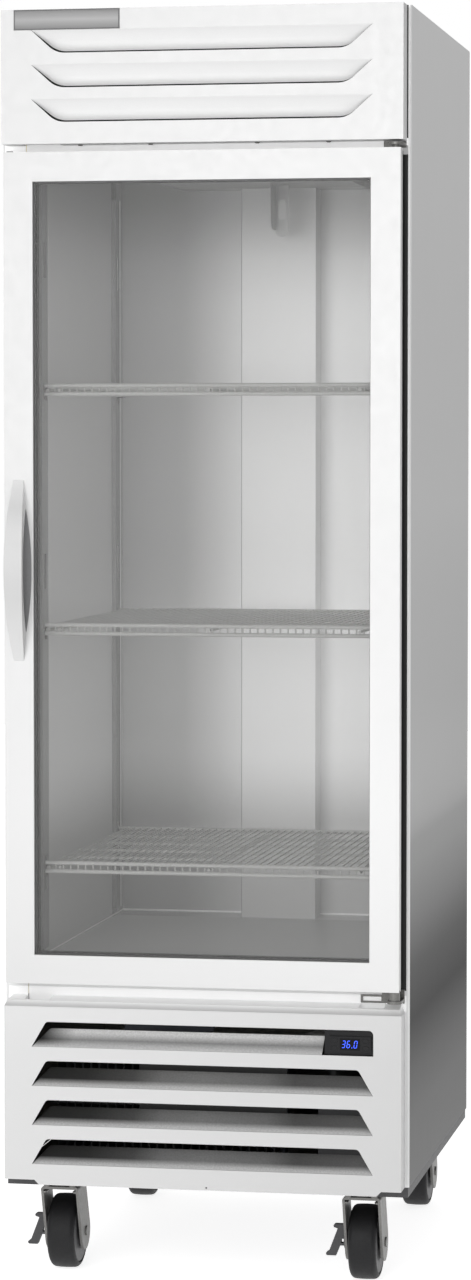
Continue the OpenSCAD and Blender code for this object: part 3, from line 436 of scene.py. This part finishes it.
def liner_steel(name, marks=(), gain=1.0, lamp=1.0):
    """Grained steel of the storage space, with painted light and shade: brighter on the right of the back
    wall, darker near the top and low down.

    marks are pairs of limits and a grey: painted shade and highlights that differ from the sheet round them.
    gain scales the sheet's tone, and lamp is the strength of a painted glow that stands in for the light of
    the cabinet's lamp.
    """
    paint = Paint(name, (0.5, 0.5, 0.5), Metallic=0.3, Roughness=0.42)
    start, end = -0.3, 0.2
    back_y = DUCT[0].y - 10 * MM
    height = paint.along("Z", *STORAGE_Z)
    # painted shade: darker near the ceiling and low down
    painted_shade_by_height = paint.shade(height, [
        (0, 0.60), (0.06, 0.68), (0.13, 0.70), (0.16, 0.83), (0.19, 0.95), (0.22, 1.0),
        (0.3, 1.0), (0.5, 0.92), (0.82, 0.92), (0.873, 0.85), (0.925, 0.62), (0.955, 0.52),
    ])
    # painted light: the back wall brighter towards the right, the side walls a little darker towards the
    # back
    walls = paint.blend(paint.along("Y", start, end), grey(0.80 * gain), grey(0.70 * gain))
    shades = [
        (0.0, 0.44), (0.12, 0.46), (0.25, 0.48), (0.35, 0.68),
        (0.45, 0.90), (0.5, 0.95), (0.62, 0.96), (1, 0.98),
    ]
    back = paint.shade(paint.along("X", start, end), [(at, min(1, tone * gain)) for at, tone in shades])
    rear = paint.shade(paint.along("Y", back_y, back_y + 4 * MM), [(0, 0), (1, 1)])
    sheet = paint.multiply(painted_shade_by_height, paint.blend(rear, walls, back))
    for limits, tone in marks:
        sheet = paint.blend(paint.inside(limits), sheet, grey(tone))
    grain = paint.noise(420, detail=4)
    specks = paint.shade(grain, [(0.3, 0.93), (0.7, 1.0)])
    paint.put("Base Color", paint.multiply(sheet, specks))
    # painted glow that stands in for the light of the cabinet's lamp, stronger where the walls are lit
    painted_lamp_glow = paint.shade(height, [
        (0, 0.02), (0.06, 0.035), (0.13, 0.035), (0.16, 0.06), (0.19, 0.085), (0.22, 0.10),
        (0.3, 0.095), (0.5, 0.06), (0.82, 0.06), (0.873, 0.045), (0.925, 0.015), (0.955, 0.0),
    ])
    paint.put("Emission Color", paint.multiply(painted_lamp_glow, specks))
    paint.set("Emission Strength", lamp)
    paint.bump(grain, 0.15)
    return paint.material


def handle_metal(name):
    """Satin cast handle, painted lighter at its two ends, most at the top, against the shade that falls
    there.
    """
    paint = Paint(name, (0.5, 0.5, 0.5), Metallic=0.15, Roughness=0.4)
    low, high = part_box("door_handle")
    stops = [(0, 0.62), (0.35, 0.55), (0.65, 0.57), (0.85, 0.72), (1, 0.98)]
    tone = paint.shade(paint.along("Z", low.z, high.z), stops)
    grain = paint.noise(900, detail=3)
    paint.put("Base Color", paint.multiply(tone, paint.shade(grain, [(0.3, 0.96), (0.7, 1.0)])))
    paint.bump(grain, 0.06)
    return paint.material


def painted_opening_shade():
    """Painted shade on the side walls behind the four pilasters, where the openings look dark."""
    low, high = PILASTERS
    width, wall, tone = 42 * MM, 0.5 * MM, 0.05
    marks = []
    for y in (low.y, high.y - width):
        for x_limits in ((-FAR, low.x + wall), (high.x - wall, FAR)):
            marks.append(({"X": x_limits, "Y": (y, y + width)}, tone))
    return marks


def floor_bend():
    """Mark on the walls just above the floor, where the bend catches the light."""
    floor_z = DUCT[0].z
    return {"Z": (floor_z + 0.5 * MM, floor_z + 4 * MM)}, 1.0


def duct_edge_shade():
    """Painted shade on the left edge of the duct cover, which looks like a dark line."""
    return {"X": (-FAR, DUCT[0].x + 1.2 * MM)}, 0.30


def pilaster_edge():
    """Mark on the rear edge of the left rear pilaster, which catches the light."""
    return {"X": (-FAR, 0), "Y": (PILASTERS[1].y - 8 * MM, FAR)}, 1.0


def glass_material(name):
    """Clear double glazing: mostly see-through, more mirror-like at a slant."""
    paint = Paint(name, (0.63, 0.63, 0.62), IOR=1.5)
    paint.put("Roughness", paint.shade(paint.noise(4, detail=3), [(0.3, 0.02), (0.8, 0.06)]))
    weight = paint.node("LayerWeight")
    weight.inputs["Blend"].default_value = 0.35
    paint.put("Alpha", paint.shade(weight.outputs["Fresnel"], [(0.05, 0.055), (0.9, 0.6)]))
    return paint.material


def glowing(name, colour, strength):
    """Lit display segments with a slight unevenness."""
    paint = Paint(name, colour, Roughness=0.3)
    dim = tuple(c * 0.85 for c in colour) + (1,)
    paint.put("Emission Color", paint.ramp(paint.noise(500, detail=2), [(0.3, dim), (0.7, (*colour, 1))]))
    paint.set("Emission Strength", strength)
    return paint.material


def sheet_materials():
    """Finishes of the sheet metal."""
    return {
        "front_white": hood_steel("front_steel"),
        "door_white": door_steel("door_steel"),
        "grille_white": grille_steel("grille_steel"),
        "frame_white": frame_steel("frame_steel"),
        "side_steel": side_steel("side_steel"),
        "liner_metal": liner_steel("liner_metal", painted_opening_shade() + [floor_bend()]),
        "duct_metal": liner_steel("duct_metal", [duct_edge_shade()]),
        # the pilasters: the liner steel darkened as painted shade, with its painted glow much weaker
        "pilaster_metal": liner_steel("pilaster_metal", [pilaster_edge()], gain=0.60, lamp=0.1),
        "rear_steel": brushed("rear_steel", [(0, 0.42), (1, 0.62)], CABINET_Z, UPRIGHT, 0.75, 0.36),
        # the badge: a painted sheen, lighter across its middle
        "badge": brushed(
            "badge_metal", [(0, 0.12), (0.5, 0.24), (1, 0.12)], BADGE_Z, SIDEWAYS, 0.6, 0.34
        ),
        "fin_metal": brushed("fin_metal", [(0, 0.03), (1, 0.04)], CABINET_Z, SIDEWAYS, 0.5, 0.42),
    }


def moulded_materials():
    """Finishes of the cast, painted and moulded parts, each with its colour, spread, grain and roughness."""
    return {
        "slate_plastic": speckled("slate_plastic", (0.042, 0.048, 0.066), 0.15, 500, 0.45),
        "base_grey": speckled("base_paint", (0.055, 0.055, 0.058), 0.12, 1200, 0.5),
        "foam": speckled("foam", (0.78, 0.72, 0.52), 0.1, 800, 0.9, bump=0.5),
        "zinc": speckled("zinc", (0.19, 0.187, 0.18), 0.14, 400, 0.42, metallic=0.45, bump=0.08),
        "black_plastic": speckled("black_plastic", (0.012, 0.012, 0.013), 0.25, 1500, 0.35, shine=0.2),
        "display": speckled(
            "display_window", (0.003, 0.003, 0.004), 0.3, 900, 0.3, bump=0.02, shine=0.15
        ),
        "key_plastic": speckled("key_plastic", (0.014, 0.014, 0.015), 0.3, 1500, 0.4, shine=0.2),
        "wire_grey": speckled("coated_wire", (0.60, 0.60, 0.59), 0.08, 700, 0.45, bump=0.1),
        "motor_black": speckled("motor_black", (0.03, 0.03, 0.033), 0.2, 500, 0.42, coat=0.2),
        "lamp_white": speckled("lamp_white", (0.86, 0.87, 0.88), 0.04, 300, 0.4),
        "copper": speckled("copper", (0.72, 0.36, 0.20), 0.15, 300, 0.3, metallic=1.0, bump=0.05),
        "gasket_rubber": speckled("gasket_rubber", (0.012, 0.012, 0.013), 0.2, 1200, 0.6, shine=0.15),
        "spacer_black": speckled("spacer_black", (0.14, 0.14, 0.142), 0.2, 900, 0.5, shine=0.2),
        "pad_grey": speckled("pad_grey", (0.21, 0.21, 0.215), 0.2, 600, 0.5),
        "hub_grey": speckled("hub_grey", (0.10, 0.10, 0.103), 0.12, 700, 0.5),
        "nylon": speckled("nylon", (0.80, 0.80, 0.79), 0.05, 600, 0.45),
        "wheel": speckled("tyre_rubber", (0.010, 0.010, 0.011), 0.25, 700, 0.55, bump=0.2, shine=0.3),
    }


def make_materials():
    """One finish for each material slot of the record, and a few for single nodes."""
    return {
        **sheet_materials(),
        **moulded_materials(),
        "handle_silver": handle_metal("handle_silver"),
        "glass": glass_material("glazing"),
        "digits": glowing("blue_digits", (0.035, 0.10, 0.95), 1.6),
    }


def dress_cad_nodes():
    """Puts the finish of its slot on every CAD node, and an own finish on three of them."""
    for node in NODES.values():
        slots = [old.name.split(".")[0] for old in node.data.materials]
        for index, name in enumerate(slots):
            node.data.materials[index] = FINISH[name]
    own_finishes = {
        "lower_grille": "grille_white", "duct_cover": "duct_metal", "shelf_pilasters": "pilaster_metal"
    }
    for node, name in own_finishes.items():
        NODES[node].data.materials[0] = FINISH[name]


# ---------------------------------------------------------------- pieces made here


def add_piece(name, mesh, body, slot, finish=None):
    """Puts a mesh, made in its place, on a CAD body, with the finish of its slot or another."""
    piece = bpy.data.objects.new(name, mesh)
    bpy.context.scene.collection.objects.link(piece)
    mesh.materials.append(FINISH[finish or slot])
    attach(piece, body)
    return piece


def mesh_from(name, build, smooth=False):
    """A new mesh, filled in by build(bm)."""
    bm = bmesh.new()
    build(bm)
    bmesh.ops.recalc_face_normals(bm, faces=bm.faces)
    mesh = bpy.data.meshes.new(name)
    bm.to_mesh(mesh)
    bm.free()
    for polygon in mesh.polygons:
        polygon.use_smooth = smooth
    return mesh


def add_plate(bm, outline, y0, y1):
    """A flat plate between y0 and y1 whose outline is given as (x, z) points."""
    front = [bm.verts.new((x, y0, z)) for x, z in outline]
    back = [bm.verts.new((x, y1, z)) for x, z in outline]
    bm.faces.new(front)
    bm.faces.new(back[::-1])
    for i in range(len(outline)):
        j = (i + 1) % len(outline)
        bm.faces.new((front[i], back[i], back[j], front[j]))


def segment_outline(centre, along_z, length, width, slant):
    """A display segment: a bar with pointed ends, leaning with the digit."""
    half, w = length / 2, width / 2
    bar = [(-half, 0), (-half + w, w), (half - w, w), (half, 0), (half - w, -w), (-half + w, -w)]
    if along_z:
        bar = [(z, x) for x, z in bar]
    return [(centre[0] + x + slant * (centre[1] + z), centre[1] + z) for x, z in bar]


def add_display_digits():
    """The reading 36.0 in slanted blue segments on the controller's window."""
    low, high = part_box("controller_window")
    middle_x, middle_z = (low.x + high.x) / 2, (low.z + high.z) / 2
    wide, tall, bar = 4.6 * MM, 5.7 * MM, 1.0 * MM
    pitch, slant, gap = 9.2 * MM, 0.16, 0.5 * MM
    front_y, back_y = low.y - 0.25 * MM, low.y - 0.02 * MM
    # middle of each segment in digit widths and heights from the digit's middle, and whether it stands
    segments = {
        "a": (0, 1, False), "b": (0.5, 0.5, True), "c": (0.5, -0.5, True), "d": (0, -1, False),
        "e": (-0.5, -0.5, True), "f": (-0.5, 0.5, True), "g": (0, 0, False),
    }
    # place of each digit in pitches from the middle, and its lit segments
    digits = ((-1.17, "abcdg"), (-0.28, "acdefg"), (1.02, "abcdef"))
    dot_at, dot_r, dot_points = 0.33, 0.8 * MM, 12

    def build(bm):
        for index, lit in digits:
            for name in lit:
                x, z, upright = segments[name]
                length = (tall if upright else wide) - gap
                outline = segment_outline((x * wide, z * tall), upright, length, bar, slant)
                moved = [(middle_x + index * pitch + u, middle_z + v) for u, v in outline]
                add_plate(bm, moved, front_y, back_y)
        dot_x, dot_z = middle_x + dot_at * pitch, middle_z - tall
        turns = [math.tau * i / dot_points for i in range(dot_points)]
        dot = [(dot_x + dot_r * math.cos(turn), dot_z + dot_r * math.sin(turn)) for turn in turns]
        add_plate(bm, dot, front_y, back_y)

    add_piece("display_digits", mesh_from("display_digits", build), "cabinet", "display", "digits")


def front_corners(low, high, inset):
    """The corners of a box's front face as (x, z), moved in by inset."""
    x0, x1, z0, z1 = low.x + inset, high.x - inset, low.z + inset, high.z - inset
    return [(x0, z0), (x1, z0), (x1, z1), (x0, z1)]


def add_badge_rim():
    """Dark printed border round the blank badge."""
    low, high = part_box("badge_plate")
    inset, width = 0.4 * MM, 1.5 * MM
    front_y, back_y = low.y - 0.15 * MM, low.y - 0.01 * MM
    outer, inner = front_corners(low, high, inset), front_corners(low, high, inset + width)

    def build(bm):
        for i in range(4):
            j = (i + 1) % 4
            add_plate(bm, [outer[i], outer[j], inner[j], inner[i]], front_y, back_y)
        bmesh.ops.remove_doubles(bm, verts=bm.verts, dist=1e-6)

    add_piece("badge_rim", mesh_from("badge_rim", build), "cabinet", "badge", "spacer_black")


def lathe(bm, profile, centre, steps):
    """Turns a closed (x, radius) profile round the X axis through centre."""
    rings = []
    for step in range(steps):
        turn = math.tau * step / steps
        rings.append([
            bm.verts.new((centre.x + x, centre.y + r * math.cos(turn), centre.z + r * math.sin(turn)))
            for x, r in profile
        ])
    for step in range(steps):
        ring, following = rings[step], rings[(step + 1) % steps]
        for i in range(len(profile)):
            j = (i + 1) % len(profile)
            bm.faces.new((ring[i], ring[j], following[j], following[i]))


def tyre_profile(radius, half, seat):
    """Crowned tread with round shoulders, seated on the hub at radius seat."""
    shoulder, crown, edge, steps = 9 * MM, 0.6 * MM, 2.5 * MM, 7
    flat = half - shoulder
    quarter = [math.pi / 2 * step / steps for step in range(steps + 1)]
    left = [
        (-(flat + shoulder * math.cos(turn)), radius - crown - shoulder * (1 - math.sin(turn)))
        for turn in quarter
    ]
    tread = [(x * flat, radius - crown * x * x) for x in (-0.5, 0, 0.5)]
    right = [(-x, r) for x, r in reversed(left)]
    return [(edge - half, seat)] + left + tread + right + [(half - edge, seat)]


def hub_profile(half, seat):
    """Solid wheel core: flat sides just inside the tyre's, and a proud boss with a bore."""
    bore, boss, chamfer = 6.05 * MM, 13.5 * MM, 1.5 * MM
    end, face = half + 1.5 * MM, half - 0.5 * MM
    bevel, overlap = 2 * MM, 0.3 * MM
    right = [
        (end, bore), (end, boss - chamfer), (face, boss),
        (face, seat - bevel), (face - bevel, seat + overlap),
    ]
    return right + [(-x, r) for x, r in reversed(right)]


def soften(piece):
    """Keeps the sharp edges of a smooth-shaded piece crisp."""
    split = piece.modifiers.new("edges", "EDGE_SPLIT")
    split.split_angle = math.radians(35)


def add_wheels():
    """A tyre and a hub for each caster, in place of the plain wheel."""
    boss_stands_out, seat_share = 2 * MM, 0.84
    tyre_steps, hub_steps = 96, 72
    for place in ("front_left", "front_right", "rear_left", "rear_right"):
        low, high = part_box(f"caster_wheel_{place}")
        centre = (low + high) / 2
        radius = (high.z - low.z) / 2
        half = (high.x - low.x) / 2 - boss_stands_out
        seat = radius * seat_share
        tread, core = tyre_profile(radius, half, seat), hub_profile(half, seat)
        tyre = mesh_from(f"tyre_{place}", lambda bm: lathe(bm, tread, centre, tyre_steps), True)
        hub = mesh_from(f"hub_{place}", lambda bm: lathe(bm, core, centre, hub_steps), True)
        piece = add_piece(f"tyre_{place}", tyre, f"wheel_{place}", "wheel")
        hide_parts(f"caster_wheel_{place}")
        soften(add_piece(f"hub_{place}", hub, f"wheel_{place}", "wheel", "hub_grey"))


# ---------------------------------------------------------------- making the scene

bpy.context.scene.view_settings.view_transform = "Standard"
add_camera()
add_world(shown=1.0, given=0.34)
add_floor()
add_area_light("front_soft", place=(-0.9, -5.2, 2.4), target=(0, 0, 1.1), size=(3.2, 3.2), power=104)
FINISH = make_materials()
dress_cad_nodes()
add_display_digits()
add_badge_rim()
add_wheels()
